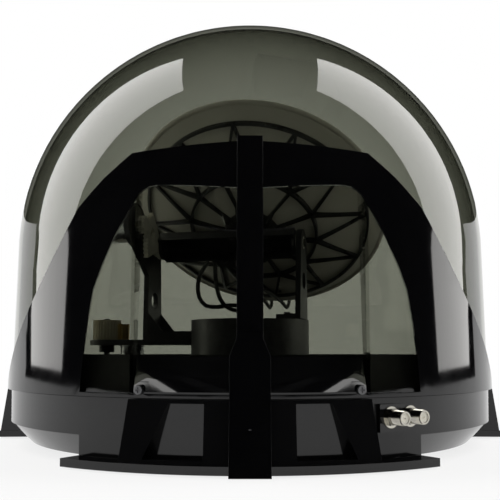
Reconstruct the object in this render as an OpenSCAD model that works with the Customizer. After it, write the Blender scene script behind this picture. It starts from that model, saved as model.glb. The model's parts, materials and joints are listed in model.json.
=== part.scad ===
// Domed rooftop satellite antenna: smoked dome, base tub with three feet, arched rear frame with a
// carrying handle, and a motor-driven dish inside. Millimetres, +Z up, handle side towards -Y.

/* [Dome] */
// Outer radius of the dome's round top
dome_r = 212; // [200:1:225]
// Outer radius of the dome at its lower edge
dome_foot_r = 215; // [212:1:230]
// Height of the centre of the round top
dome_centre_z = 166; // [150:1:190]
// Wall of the dome
dome_wall = 3; // [2:0.5:4]
// Half width of the hand pocket behind the handle
pocket_half_w = 79.4; // [60:0.2:90]
// Distance from the axis to the pocket's back wall at its foot
pocket_back = 182; // [175:1:190]
// How far the pocket's back wall leans inwards at its top
pocket_lean = 19; // [0:1:25]

/* [Base tub] */
// Height of the line where the tub meets the dome
parting_z = 48; // [40:1:60]
// Wall of the tub
tub_wall = 3; // [2:0.5:4]
// Height of the top of the tub's bevelled foot
bevel_z = 21; // [16:1:28]
// Radius of the tub's floor
floor_r = 198; // [185:1:205]
// Height of the floor's underside
floor_z = 4; // [3:0.5:8]
// Half angle that each foot spans
foot_half_angle = 34; // [25:1:40]
// Radius of each foot's outer edge
foot_r = 232; // [225:1:245]
// Height of the top of each foot
foot_top = 6.7; // [5:0.1:12]
// Diameter of the circle of roof screws
roof_pcd = 412; // [400:1:420]
// Bore radius of the roof inserts
insert_bore = 3; // [2:0.25:4]

/* [Rear frame and handle] */
// Wall of the rear frame
frame_wall = 3; // [2:0.5:4]
// Height of the frame's top at its middle
frame_top = 223; // [200:1:235]
// Width of the handle's grip
grip_w = 17.5; // [14:0.5:24]
// Thickness of the handle's grip, front to back
grip_t = 14; // [10:1:20]
// Width of the handle's lower stem
stem_w = 27; // [20:1:36]
// Half width of the lower rear apron
apron_half_w = 82; // [70:1:95]

/* [Ports] */
// Direction that the two coaxial ports face, from the handle side
port_angle = 34; // [20:1:50]
// Height of the port centres
port_z = 34.5; // [28:0.5:38]
// Spacing of the two ports
port_pitch = 18.3; // [16:0.1:24]
// Radius of the 3/8 inch port thread
port_r = 4.76; // [4:0.01:6]
// Length of thread outside the nut
port_len = 10; // [8:0.5:14]

/* [Deck and turntable] */
// Height of the deck's rim
deck_z = 77; // [70:1:85]
// Height of the deck's sunken floor
well_z = 58; // [54:1:62]
// Teeth of the fixed ring gear
ring_teeth = 162; // [150:1:162]
// Teeth of the drive pinion
drive_teeth = 13; // [12:1:15]
// Radius of the centre post
post_r = 14; // [11:0.5:16]
// Radius of the turntable's drum
drum_r = 56; // [50:1:60]
// Height of the drum's top
drum_top = 109; // [104:1:115]
// Underside of the turntable's drive arm
arm_z = 86; // [84:0.5:90]

/* [Dish] */
// Heading of the dish at rest, turned from straight ahead
rest_heading = 15; // [-90:1:90]
// Elevation of the dish at rest
rest_elevation = 50; // [40:1:60]
// Height of the elevation pivot
pivot_z = 182; // [175:1:190]
// Radius of the dish
dish_r = 125; // [110:1:128]
// Depth of the dish
dish_depth = 32; // [24:1:36]
// Distance from the pivot to the dish's rim plane
rim_off = 50; // [48:1:56]
// Thickness of the dish
dish_t = 1.5; // [1:0.1:2.5]
// Radius of the pivot pins
pin_r = 4; // [3:0.5:5]
// Pitch radius of the elevation sector gear
sector_r = 40; // [35:2.5:45]

/* [Fits] */
// Gap between casings that fit over each other
fit_gap = 0.3; // [0.1:0.1:0.6]
// Radial running clearance of shafts in bushes
run_gap = 0.05; // [0.02:0.01:0.1]

/* [Hidden] */
$fn = 96;
eps = 0.01;
far = 300;

// Directions of the three feet and of the roof screws
foot_angles = [-90, 30, 150];

// Heights worked out from the driving sizes
skirt_z = parting_z + fit_gap;          // lower edge of the dome and of the rear frame
rim_z = parting_z - fit_gap;            // upper edge of the tub
floor_top = floor_z + tub_wall;         // upper side of the tub's floor
frame_in = fit_gap;                     // how far the frame's inner face stands off the dome
frame_out = fit_gap + frame_wall;       // how far its outer face stands off the dome
grip_out = frame_out + 2.4;             // how far the handle's outer face stands off the dome
frame_r = dome_foot_r + frame_out;      // outer radius of the frame at its lower edge

// Apron: the slanted panel above each foot
apron_top_r = 219;
apron_foot_r = foot_r - 1;
side_apron_top_r = 225;
rear_apron_angle = asin(apron_half_w / apron_top_r);
apron_in_r = dome_foot_r - 1.5;
apron_top_z = rim_z - 0.4;
hollow_in_r = dome_foot_r + 0.6;
foot_wall_r = dome_foot_r - 0.05;
plate_in_r = 190;
pocket_back_r = 217;

// Hand pocket
sill_back_z = deck_z - 1.2;
sill_front_z = skirt_z + 4;
pocket_roof_back = 203;
pocket_roof_front = 214;
window_z = skirt_z + 2.7;
lug_angle = 19.9;                       // where the frame's two lower screws sit, either side of the middle
lug_half_w = 3.6;

// Screws that hold the handle's stem from inside the tub
handle_screw_z = [27.5, 38.5];
stem_bite = 1.8;                        // how far they reach into the stem
function stem_in_r(z) = apron_top_r + fit_gap
    + (apron_foot_r - apron_top_r) * (skirt_z - z) / (skirt_z - foot_top - fit_gap);
function handle_screw_reach(z) = stem_in_r(z) + stem_bite - (dome_foot_r - tub_wall);

// Roof inserts and pads
pad_in_r = 199;
pad_out_r = 213;
pad_half_angle = 27;
pad_depth = 3;
plate_z = 1;
insert_r = 5.5;
boss_r = 8.5;
insert_h = 14;

// Ports: a flat land on the tub, seen square to port_angle
land_y = dome_foot_r + 0.05;
port_s = [-10.9 - port_pitch, -10.9];
jack_bore_r = port_r + 0.2;
jack_inner_len = 18.5;
jack_relief = 0.5;                     // step between the thread and the body inside the nut
washer_t = 0.8;
nut_t = 3;
nut_r = port_r + 1.6;                    // to the nut's corners
hex_shoulder_r = port_r + 1.85;
pin_hole_r = 0.6;
lead_r = 2;

// Deck, ring gear and centre post
gear_module = 2;
ring_pitch_r = ring_teeth * gear_module / 2;
drive_pitch_r = drive_teeth * gear_module / 2;
drive_u = ring_pitch_r - drive_pitch_r;      // distance of the drive shaft from the axis
ring_root_r = ring_pitch_r + 2.3;
ring_out_r = ring_pitch_r + 6;
ring_h = 10;
ring_z = deck_z - 1 - ring_h;
deck_r = dome_foot_r - dome_wall - 3.5;
deck_t = 3;
spigot_z = parting_z - 4;
post_top = 98;
post_bore = 9;
bush_t = 3;
sleeve_r = 24;
flange_h = 4;
washer_h = 2.4;
sleeve_z = well_z + flange_h + washer_h + 0.2;
sleeve_top = 94;
ring_clip_t = 1.6;
drum_wall = 3;
drum_bottom = well_z + 6;
stop_r = 47;
stop_w = 3.4;

// Drive arm, drum gear and motors
arm_t = 5;
arm_end = drive_u + 16;
arm_w = 44;
drive_shaft_r = 3;
drum_teeth = 26;
drum_h = 19.5;
motor_teeth = 10;
fine_module = 1;
drum_pitch_r = drum_teeth * fine_module / 2;
motor_pitch_r = motor_teeth * fine_module / 2;
drum_gap = 0.6;
az_motor_u = -drive_u + drum_pitch_r + motor_pitch_r;
motor_r = 12;
motor_h = 20;
motor_offset = 9.8;                          // from the motor's middle to its geared shaft
motor_shaft_r = 1.5;

// Yoke and elevation drive
left_u = -100;
right_u = 50;
yoke_t = 5;
yoke_half_w = 18;
pivot_boss_r = 15;
bush_r = pin_r + 2;
ear_t = 3;
sector_t = 4;
side_gap = 0.5;
left_in = left_u + yoke_t / 2;
right_in = right_u - yoke_t / 2;
bush_flange_t = 1.5;
sector_u = left_in + bush_flange_t + side_gap + 2;
left_ear_u = sector_u + sector_t;
right_ear_u = right_in - bush_flange_t - side_gap - ear_t;
el_module = 1.25;
el_teeth = 12;
sector_teeth = round(2 * sector_r / el_module);
el_pitch_r = el_teeth * el_module / 2;
el_angle = 160;
el_dist = sector_teeth * el_module / 2 + el_pitch_r;
el_y = el_dist * cos(el_angle);
el_z = el_dist * sin(el_angle);
el_motor_r = 17.5;
el_motor_h = 20;
el_shaft_r = 2;
tilt = 90 - rest_elevation;
sector_half = 34;

// Dish and feed
vertex = rim_off - dish_depth;
rib_t = 2.4;
rib_count = 12;
back_gap = 0.3;
back_hub_r = 27;
back_ring_r = 62;
back_rim_r = 110;
plate_lo = 2.6;
plate_hi = plate_lo + 3;
focus = vertex + dish_r * dish_r / (4 * dish_depth);
horn_z = focus - 4;
lnb_w = 44;
feed_y = 100;
feed_slope = atan(2 * dish_depth * feed_y / (dish_r * dish_r));
feed_w = 12;

// Control board
board_c = [45, -95];
board_w = 130;
board_d = 80;
board_z = 19;
board_t = 1.6;
board_top = board_z + board_t;

// Free-form routes of the internal leads, by hand, as the leads are laid
jack_route_a = [[85.2, -178.5, 34.5], [80, -170.8, 34.7], [75, -160, 36], [70, -147, 38],
    [66.5, -136, 38.5], [66, -130.5, 36], [66, -130, 33], [66, -130, 31.1]];
jack_route_b = [[100.4, -168.3, 34.5], [95, -160.3, 34.7], [91, -152, 36], [87, -142, 38],
    [84.5, -133, 38.5], [84, -128.5, 36], [84, -128, 33], [84, -128, 31.1]];
post_route_a = [[28, -68, 31.3], [28, -68, 32.3], [28, -68, 34.5], [27, -66, 38], [22, -56, 41], [12, -32, 42],
    [5, -10, 45], [3, -1, 52], [3, 0, 62], [3, 0, 80], [3, 0, 100], [3, 0, 111.5]];
post_route_b = [[14, -68, 31.3], [14, -68, 32.3], [14, -68, 34.5], [13, -65, 38], [10, -54, 41], [3, -32, 42],
    [-2, -10, 45], [-3, -1, 52], [-3, 0, 62], [-3, 0, 80], [-3, 0, 100], [-3, 0, 111.5]];
loop_route_a = [[3, 0, 112.1], [3, 0, 113], [3, 0, 115], [0, -4, 119], [-7, -9, 122], [-18, -14, 123],
    [-30, -18, 121], [-41, -22, 122], [-47, -25, 130], [-48, -26, 142], [-45, -24, 153],
    [-39, -20, 163]];
loop_route_b = [[-3, 0, 112.1], [-3, 0, 113], [-3, 0, 114.5], [-6, -4, 117], [-11, -10, 118], [-18, -17, 119],
    [-25, -24, 124], [-29, -29, 132], [-31, -30, 142], [-32, -27, 152], [-32.5, -22, 162]];
// Leads on the dish, in the dish's own frame, from the ports over the rim to the clip
dish_route_a = [[16, 31.3, 166], [16, 36, 165.5], [16, 43, 160], [15, 47, 148], [13, 56, 130],
    [11, 75, 106], [10, 98, 84], [10, 117, 67], [10, 127, 57], [10, 132, 48], [9, 129, 39],
    [6, 116, 35.5], [0, 92, 24.8], [-10, 62, 10.5], [-18, 36, 2], [-22.7, 22, -3], [-22.7, 16, -4]];
dish_route_b = [[-16, 31.3, 166], [-16, 36, 165.5], [-16, 43, 160], [-15, 47, 148], [-13, 56, 130],
    [-11, 75, 106], [-10, 98, 84], [-10, 117, 67], [-10, 127, 57], [-10, 132, 48], [-10, 129, 39],
    [-12, 116, 35.5], [-16, 92, 24.8], [-22, 62, 10.5], [-27, 36, 2], [-28.7, 22, -3], [-28.7, 16, -4]];

// ---------------------------------------------------------------- shared shapes

// The dome as a solid, its surface moved inwards by off
module dome_solid(off, z0) {
    intersection() {
        translate([0, 0, dome_centre_z]) sphere(r = dome_r - off, $fn = 128);
        translate([-far, -far, dome_centre_z - eps]) cube([2 * far, 2 * far, far]);
    }
    translate([0, 0, z0])
        cylinder(h = dome_centre_z - z0,
            r1 = dome_foot_r - off + (parting_z - z0) * (dome_foot_r - dome_r) / (dome_centre_z - parting_z),
            r2 = dome_r - off, $fn = 128);
}

// A shell over or under the dome's skin, between two offsets
module dome_band(outer, inner, z0) {
    difference() {
        dome_solid(outer, z0);
        dome_solid(inner, z0 - 1);
    }
}

// A revolved outline over part of a turn, centred on an angle
module sector(mid, half) {
    rotate([0, 0, mid - half]) rotate_extrude(angle = 2 * half, $fn = 180) children();
}

// An outline in Y and Z, drawn out evenly along X
module along_x(width) {
    translate([-width / 2, 0, 0]) rotate([90, 0, 90]) linear_extrude(width) children();
}

module ring(r_out, r_in, z, h) {
    translate([0, 0, z]) difference() {
        cylinder(h = h, r = r_out);
        translate([0, 0, -1]) cylinder(h = h + 2, r = r_in);
    }
}

// Points of straight-sided teeth about a pitch radius, tips outwards for a positive addendum
function tooth(r, a, add, ded, p) = [
    [r - ded, a - 0.30 * p], [r + add, a - 0.13 * p], [r + add, a + 0.13 * p], [r - ded, a + 0.30 * p]];
function polar(q) = [q[0] * cos(q[1]), q[0] * sin(q[1])];
function gear_points(n, r, add, ded, from = 0, count = 0) = [
    for (i = [0 : (count > 0 ? count : n) - 1])
        for (q = tooth(r, from + i * 360 / n, add, ded, 360 / n)) polar(q)];

module spur(n, m, h, bore, phase = 0) {
    r = n * m / 2;
    difference() {
        rotate([0, 0, phase]) linear_extrude(h) polygon(gear_points(n, r, 0.8 * m, 1.05 * m));
        translate([0, 0, -1]) cylinder(h = h + 2, r = bore);
    }
}

// A round lead of radius r swept along a route
function unit(v) = v / max(norm(v), eps);
function catmull(p, i, t) =
    let (n = len(p), a = p[max(i - 1, 0)], b = p[i], c = p[min(i + 1, n - 1)], d = p[min(i + 2, n - 1)])
    0.5 * (2 * b + (c - a) * t + (2 * a - 5 * b + 4 * c - d) * t * t + (3 * b - a - 3 * c + d) * t * t * t);
function smooth_route(p) = concat(
    [for (i = [0 : len(p) - 2]) for (t = [0, 0.5]) catmull(p, i, t)], [p[len(p) - 1]]);
function tangent(p, i) = unit(p[min(i + 1, len(p) - 1)] - p[max(i - 1, 0)]);
// The frame is carried along the route without twist
function carried(n, t) = unit(n - (n * t) * t);
function normals(p, i = 0, acc = []) =
    i == len(p) ? acc :
    let (t = tangent(p, i),
         n = i == 0 ? unit(cross(t, abs(t[2]) < 0.9 ? [0, 0, 1] : [1, 0, 0])) : carried(acc[i - 1], t))
    normals(p, i + 1, concat(acc, [n]));
module lead(route, r, sides = 8) {
    p = smooth_route(route);
    ns = normals(p);
    m = len(p);
    pts = [for (i = [0 : m - 1]) let (t = tangent(p, i), b = cross(t, ns[i]))
        for (k = [0 : sides - 1])
            p[i] + r * (cos(360 * k / sides) * ns[i] + sin(360 * k / sides) * b)];
    faces = concat(
        [[for (k = [sides - 1 : -1 : 0]) k]],
        [[for (k = [0 : sides - 1]) (m - 1) * sides + k]],
        [for (i = [0 : m - 2]) for (k = [0 : sides - 1])
            let (k2 = (k + 1) % sides)
            [i * sides + k, i * sides + k2, (i + 1) * sides + k2]],
        [for (i = [0 : m - 2]) for (k = [0 : sides - 1])
            let (k2 = (k + 1) % sides)
            [i * sides + k, (i + 1) * sides + k2, (i + 1) * sides + k]]);
    polyhedron(pts, [for (f = faces) [for (j = [len(f) - 1 : -1 : 0]) f[j]]], convexity = 6);
}

// Frames of the moving parts at rest
module on_turntable() { rotate([0, 0, -rest_heading]) children(); }
module on_dish() {
    on_turntable() translate([0, 0, pivot_z]) rotate([-tilt, 0, 0]) children();
}
// Along the elevation pivot: +Z of the child lies along the pivot axis, its X along the local Y
module along_pivot(u) { translate([u, 0, 0]) rotate([90, 0, 90]) children(); }
module at_port(s) {
    rotate([0, 0, port_angle]) translate([s, -land_y, port_z]) rotate([90, 0, 0]) children();
}
module at_foot_screws() {
    for (a = foot_angles) rotate([0, 0, a]) translate([roof_pcd / 2, 0, 0]) children();
}
// A pan-head screw, head upwards, shank below z = 0
module screw(head_r, head_h, shank_r, length) {
    difference() {
        union() {
            cylinder(h = head_h, r = head_r, $fn = 32);
            translate([0, 0, -length]) cylinder(h = length, r = shank_r, $fn = 24);
        }
        for (a = [0, 90]) rotate([0, 0, a])
            translate([-0.62 * head_r, -0.14 * head_r, 0.4 * head_h])
                cube([1.24 * head_r, 0.28 * head_r, head_h]);
    }
}

// ---------------------------------------------------------------- base

// Floor and wall, with the bevelled foot
module tub_profile() {
    polygon([[0, floor_z], [floor_r, floor_z], [dome_foot_r, bevel_z], [dome_foot_r, rim_z],
        [dome_foot_r - tub_wall, rim_z], [dome_foot_r - tub_wall, bevel_z + 1.2],
        [floor_r - 1.2, floor_top], [0, floor_top]]);
}
// A foot's plate, and the wall above it that runs straight down instead of the bevel
module foot_profile() {
    polygon([[plate_in_r, plate_z], [foot_r, plate_z], [foot_r, foot_top],
        [foot_wall_r, foot_top], [foot_wall_r, bevel_z + 2], [apron_in_r, bevel_z + 2],
        [apron_in_r, bevel_z + 0.6], [floor_r - 0.6, floor_z + tub_wall / 2],
        [plate_in_r, floor_z + tub_wall / 2]]);
}
module apron_solid(top_r) {
    polygon([[apron_in_r, foot_top - 0.2], [apron_foot_r, foot_top - 0.2], [top_r, apron_top_z],
        [apron_in_r, apron_top_z]]);
}
// The hollow of an apron, open underneath
module apron_hollow(top_r) {
    slope = (apron_foot_r - top_r) / (apron_top_z - foot_top);
    polygon([[hollow_in_r, 0], [apron_foot_r - tub_wall, 0], [apron_foot_r - tub_wall, foot_top],
        [top_r - tub_wall + slope * tub_wall, apron_top_z - tub_wall],
        [hollow_in_r, apron_top_z - tub_wall]]);
}
// Trapezoid pockets either side of the handle's stem, grown sideways by wall
module apron_pockets(wall) {
    for (m = [0, 1]) mirror([m, 0, 0])
        rotate([90, 0, 0]) translate([0, 0, apron_in_r - 30])
            linear_extrude(far - apron_in_r)
                polygon([[30 - wall, 45 + wall / 2], [54 + wall, 45 + wall / 2],
                    [70 + wall * 1.4, 9.5 - wall], [30 - wall, 9.5 - wall]]);
}
module frame_lugs(grow) {
    for (s = [-1, 1]) rotate([0, 0, -90 + s * lug_angle])
        translate([205 - grow, -lug_half_w - grow, 38])
            cube([7.2 + 2 * grow, 2 * (lug_half_w + grow), 20.5 + grow]);
}
module base_tub() {
    color([0.05, 0.05, 0.055]) difference() {
        union() {
            rotate_extrude($fn = 180) tub_profile();
            for (a = foot_angles) sector(a, foot_half_angle) foot_profile();
            sector(foot_angles[0], rear_apron_angle) apron_solid(apron_top_r);
            for (a = [foot_angles[1], foot_angles[2]])
                sector(a, foot_half_angle - 0.2) apron_solid(side_apron_top_r);
            // flat land for the ports
            rotate([0, 0, port_angle])
                translate([port_s[0] - 10, -land_y, port_z - 10])
                    cube([port_pitch + 20, 8, 19]);
            at_foot_screws() translate([0, 0, plate_z + 0.5]) cylinder(h = insert_h + 3, r = boss_r);
            frame_lugs(0);
            // pillars that carry the deck
            for (a = [45, 135, 225, 315]) rotate([0, 0, a]) translate([188, 0, floor_top - 0.5])
                cylinder(h = deck_z - deck_t - floor_top + 0.5, r = 6, $fn = 48);
            for (a = [0, 90, 180, 270]) rotate([0, 0, a]) translate([90, 0, floor_top - 0.5])
                cylinder(h = well_z - deck_t - floor_top + 0.5, r = 6, $fn = 48);
        }
        // hollows of the aprons, leaving a web behind the handle and walls round the pockets
        for (s = [-1, 1]) difference() {
            sector(foot_angles[0] + s * 12.9, 7.9) apron_hollow(apron_top_r);
            apron_pockets(2.5);
        }
        for (a = [foot_angles[1], foot_angles[2]]) for (s = [-1, 1])
            sector(a + s * foot_half_angle / 2, foot_half_angle / 2 - 2) apron_hollow(side_apron_top_r);
        difference() {
            apron_pockets(0);
            cylinder(h = far, r = pocket_back_r);
        }
        at_foot_screws() translate([0, 0, plate_z - 1]) cylinder(h = insert_h + 1, r = insert_r);
        // recesses for the pads
        for (a = foot_angles) sector(a, pad_half_angle + 0.2)
            polygon([[pad_in_r - 0.2, 0], [pad_out_r + 0.2, 0], [pad_out_r + 0.2, pad_depth],
                [pad_in_r - 0.2, pad_depth]]);
        for (s = port_s) at_port(s) translate([0, 0, -20]) cylinder(h = 40, r = jack_bore_r);
        // room behind each port for the jack's body
        for (s = port_s) at_port(s) translate([0, 0, -30]) cylinder(h = 30 - tub_wall - 1.5, r = 8);
        frame_screw_places() translate([0, 0, -16]) cylinder(h = 20, r = 1.6, $fn = 24);
        for (z = handle_screw_z) at_handle_screw(z) translate([0, 0, -20])
            cylinder(h = 21, r = 2.2, $fn = 24);
        for (a = [45, 135, 225, 315]) rotate([0, 0, a]) translate([188, 0, deck_z - deck_t - 14])
            cylinder(h = 15, r = 1.5, $fn = 24);
    }
}
module at_handle_screw(z) {
    translate([0, -(dome_foot_r - tub_wall), z]) rotate([-90, 0, 0]) children();
}
module foot_pads() {
    color([0.1, 0.1, 0.1]) for (a = foot_angles) difference() {
        sector(a, pad_half_angle)
            polygon([[pad_in_r, 0], [pad_out_r, 0], [pad_out_r, pad_depth - 0.05],
                [pad_in_r, pad_depth - 0.05]]);
        rotate([0, 0, a]) translate([roof_pcd / 2, 0, -1]) cylinder(h = 10, r = insert_r + 0.2);
    }
}
module roof_inserts() {
    color([0.75, 0.6, 0.3]) at_foot_screws() difference() {
        cylinder(h = insert_h - 0.05, r = insert_r - 0.02);
        translate([0, 0, -1]) cylinder(h = insert_h - 1, r = insert_bore);
    }
}

// ---------------------------------------------------------------- dome, frame and handle

// Hand pocket as a solid, grown by the dome's wall where it is wanted
module pocket(grow) {
    back = -(pocket_back - grow);
    along_x(2 * (pocket_half_w + grow))
        polygon([[-far, skirt_z - 2], [back, skirt_z - 2], [back, deck_z],
            [back + pocket_lean, pocket_roof_back + grow],
            [-(dome_r - 4), pocket_roof_front + grow], [-far, pocket_roof_front + grow + 30]]);
}
module radome() {
    color([0.3, 0.3, 0.27, 0.45]) difference() {
        union() {
            dome_band(0, dome_wall, skirt_z);
            intersection() {
                pocket(dome_wall);
                dome_solid(0, skirt_z);
            }
        }
        pocket(0);
        dome_screw_places() translate([0, 0, -10]) cylinder(h = 20, r = 1.7, $fn = 24);
    }
}
module dome_seal() {
    color([0.08, 0.08, 0.08])
        ring(dome_foot_r - 0.4, dome_foot_r - tub_wall + 0.4, rim_z + 0.05, skirt_z - rim_z - 0.1);
}
module dome_screw_places() {
    for (a = [0, 60, 120, 180]) rotate([0, 0, a])
        translate([dome_foot_r, 0, skirt_z + 9]) rotate([0, 90, 0]) children();
}
module dome_screws() {
    color([0.6, 0.6, 0.62]) dome_screw_places() translate([0, 0, 0.1]) screw(3, 1.6, 1.5, 9);
}

// Front outlines of the frame and of its window, as half outlines that are mirrored
function mirrored(h) = concat(h, [for (i = [len(h) - 1 : -1 : 0]) [-h[i][0], h[i][1]]]);
frame_half = [[0, frame_top], [83, frame_top - 4.5], [104, frame_top - 21], [124, frame_top - 40],
    [143, frame_top - 69], [163, frame_top - 99], [177, frame_top - 119], [190, frame_top - 139],
    [205, frame_top - 166], [219, skirt_z]];
window_half = [[0, 188.4], [62, 193], [69, 192.4], [74, 190], [77.5, 187], [94.2, 159.6],
    [104, 139], [110.4, 122.6], [114.5, 100], [117.3, 77.4], [119.5, window_z]];
module frame_outline_cut(half, y_in) {
    translate([0, -y_in, 0]) rotate([90, 0, 0]) linear_extrude(far) polygon(mirrored(half));
}
module sill_solid(drop) {
    inset = drop > 0 ? frame_wall : 0.6;
    hull() {
        translate([-pocket_half_w + 0.4 + drop, -(pocket_back + fit_gap + drop) - 0.6, skirt_z - drop])
            cube([2 * (pocket_half_w - 0.4 - drop), 0.6, sill_back_z - skirt_z]);
        sector(-90, asin((pocket_half_w - 0.8 - drop) / frame_r), $fn = 64)
            polygon([[frame_r - inset - 1, skirt_z - drop], [frame_r - inset, skirt_z - drop],
                [frame_r - inset, sill_front_z - drop], [frame_r - inset - 1, sill_front_z - drop]]);
    }
}
module frame_screw_places() {
    for (s = [-1, 1]) rotate([0, 0, -90 + s * lug_angle])
        translate([frame_r, 0, skirt_z + 5.2]) rotate([0, 90, 0]) children();
}
module rear_frame() {
    color([0.04, 0.04, 0.045]) difference() {
        union() {
            difference() {
                intersection() {
                    dome_band(-frame_out, -frame_in, skirt_z);
                    frame_outline_cut(frame_half, 24);
                }
                frame_outline_cut(window_half, 60);
            }
            difference() {
                sill_solid(0);
                sill_solid(frame_wall);
                frame_lugs(0.4);
            }
            frame_screw_places() translate([0, 0, -4.2]) cylinder(h = 4.2, r = lug_half_w, $fn = 48);
        }
        frame_screw_places() translate([0, 0, -20]) cylinder(h = 40, r = 1.7, $fn = 24);
        frame_lugs(0.3);
    }
}
module frame_screws() {
    color([0.5, 0.5, 0.52]) frame_screw_places() translate([0, 0, 0.1]) screw(3, 1.6, 1.55, 12);
}
module carry_handle() {
    shoulder_z = 88;
    shoulder_foot_z = 76;
    color([0.03, 0.03, 0.035]) difference() {
        union() {
            // skin that lies over the frame, and the grip between the frame's top and the sill
            intersection() {
                dome_band(-grip_out, -frame_out - 0.1, skirt_z);
                translate([-grip_w / 2, -far, shoulder_foot_z]) cube([grip_w, far - 60, 226 - shoulder_foot_z]);
            }
            intersection() {
                dome_band(-grip_out, grip_t - grip_out, skirt_z);
                translate([-grip_w / 2, -far, shoulder_foot_z]) cube([grip_w, far - 60, 187.6 - shoulder_foot_z]);
            }
            // stem down to the foot
            difference() {
                along_x(stem_w) polygon([
                    [-(frame_r + 1.8), shoulder_z + 4], [-(frame_r + 4), skirt_z],
                    [-(foot_r - 1), 15.9], [-(foot_r + 8), 0.6], [-(foot_r + fit_gap), 0.6],
                    [-(foot_r + fit_gap), foot_top + fit_gap], [-(apron_foot_r + fit_gap), foot_top + fit_gap],
                    [-(apron_top_r + fit_gap), skirt_z], [-(frame_r + 0.3), skirt_z + 4.5],
                    [-(frame_r - 3), skirt_z + 8], [-(frame_r - 8), shoulder_z + 4]]);
                for (m = [0, 1]) mirror([m, 0, 0])
                    rotate([90, 0, 0]) translate([0, 0, 180]) linear_extrude(80)
                        polygon([[grip_w / 2, shoulder_z], [stem_w / 2, shoulder_foot_z],
                            [stem_w, shoulder_foot_z], [stem_w, shoulder_z + 9], [grip_w / 2, shoulder_z + 9]]);
            }
        }
        // blind holes, which stop short of the stem's outer face
        for (z = handle_screw_z) at_handle_screw(z)
            translate([0, 0, -(handle_screw_reach(z) + fit_gap)])
                cylinder(h = handle_screw_reach(z) + fit_gap, r = 1.95, $fn = 24);
    }
}
module handle_screws() {
    color([0.6, 0.6, 0.62]) for (z = handle_screw_z) at_handle_screw(z)
        translate([0, 0, 0.1]) screw(3.6, 2, 1.9, handle_screw_reach(z) + 0.1);
}

// ---------------------------------------------------------------- ports

module coax_jacks() {
    color([0.78, 0.74, 0.62]) for (s = port_s) at_port(s) {
        difference() {
            union() {
                translate([0, 0, -jack_inner_len])
                    cylinder(h = jack_inner_len + washer_t + nut_t + 0.5, r = port_r - jack_relief);
                translate([0, 0, washer_t + nut_t]) cylinder(h = port_len, r = port_r);
                // inner hex shoulder that bears on the inside of the wall
                translate([0, 0, -tub_wall - 1.6 - 2.4]) cylinder(h = 2.4, r = hex_shoulder_r, $fn = 6);
            }
            translate([0, 0, washer_t + nut_t + port_len - 9]) cylinder(h = 10, r = port_r - 1.1);
        }
    }
}
module jack_nuts() {
    color([0.8, 0.8, 0.78]) for (s = port_s) at_port(s) translate([0, 0, washer_t]) difference() {
        intersection() {
            cylinder(h = nut_t, r = nut_r, $fn = 6);
            translate([0, 0, -0.6]) cylinder(h = nut_t + 1.2, r1 = nut_r + 0.6, r2 = nut_r - 0.35);
        }
        translate([0, 0, -1]) cylinder(h = nut_t + 2, r = port_r + 0.05);
    }
}
module jack_washers() {
    color([0.7, 0.7, 0.68]) for (s = port_s) at_port(s)
        ring(port_r + 2.64, port_r + 0.15, 0.02, washer_t - 0.04);
}
module jack_insulators() {
    color([0.92, 0.9, 0.84]) for (s = port_s) at_port(s)
        ring(port_r - 1.15, pin_hole_r, washer_t + nut_t + port_len - 9, 8.4);
}
module jack_leads() {
    color([0.08, 0.08, 0.08]) {
        lead(jack_route_a, lead_r);
        lead(jack_route_b, lead_r);
    }
}

// ---------------------------------------------------------------- deck and electronics

module deck() {
    color([0.05, 0.05, 0.05]) difference() {
        union() {
            rotate_extrude($fn = 180) polygon([
                [post_bore + 0.2, well_z - deck_t], [ring_out_r + 3.3, well_z - deck_t],
                [ring_out_r + 3.3, deck_z - deck_t], [deck_r - deck_t, deck_z - deck_t],
                [deck_r - deck_t, spigot_z], [deck_r, spigot_z], [deck_r, deck_z],
                [ring_out_r + 0.3, deck_z], [ring_out_r + 0.3, ring_z], [ring_root_r + 0.6, ring_z],
                [ring_root_r + 0.6, well_z], [post_bore + 0.2, well_z]]);
            // stop that meets the turntable's tab at either end of its turn
            on_turntable() translate([stop_r, -stop_w / 2, well_z - eps]) cube([6.5, stop_w, 5.2]);
        }
        // clears the hand pocket's back wall and the frame's lugs
        translate([-(pocket_half_w + dome_wall + 0.6), -far, 0])
            cube([2 * (pocket_half_w + dome_wall + 0.6), far - (pocket_back - dome_wall) + 0.6, far]);
        for (a = [45, 135, 225, 315]) rotate([0, 0, a]) translate([188, 0, deck_z - 10])
            cylinder(h = 20, r = 1.9, $fn = 24);
        dome_screw_places() translate([0, 0, -12]) cylinder(h = 14, r = 1.55, $fn = 24);
        for (a = [0, 90, 180, 270]) rotate([0, 0, a + 45]) translate([19, 0, well_z - 10])
            cylinder(h = 20, r = 1.3, $fn = 24);
    }
}
module deck_screws() {
    color([0.55, 0.55, 0.57]) for (a = [45, 135, 225, 315])
        rotate([0, 0, a]) translate([188, 0, deck_z + 0.1]) screw(3.6, 2, 1.45, 14);
}
module ring_gear() {
    color([0.12, 0.12, 0.12]) translate([0, 0, ring_z + 0.05]) linear_extrude(ring_h)
        difference() {
            circle(r = ring_out_r, $fn = 180);
            polygon([for (i = [0 : ring_teeth - 1])
                for (q = tooth(ring_pitch_r, 180 - rest_heading + i * 360 / ring_teeth,
                    -0.8 * gear_module, -1.05 * gear_module, 360 / ring_teeth)) polar(q)]);
        }
}
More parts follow.
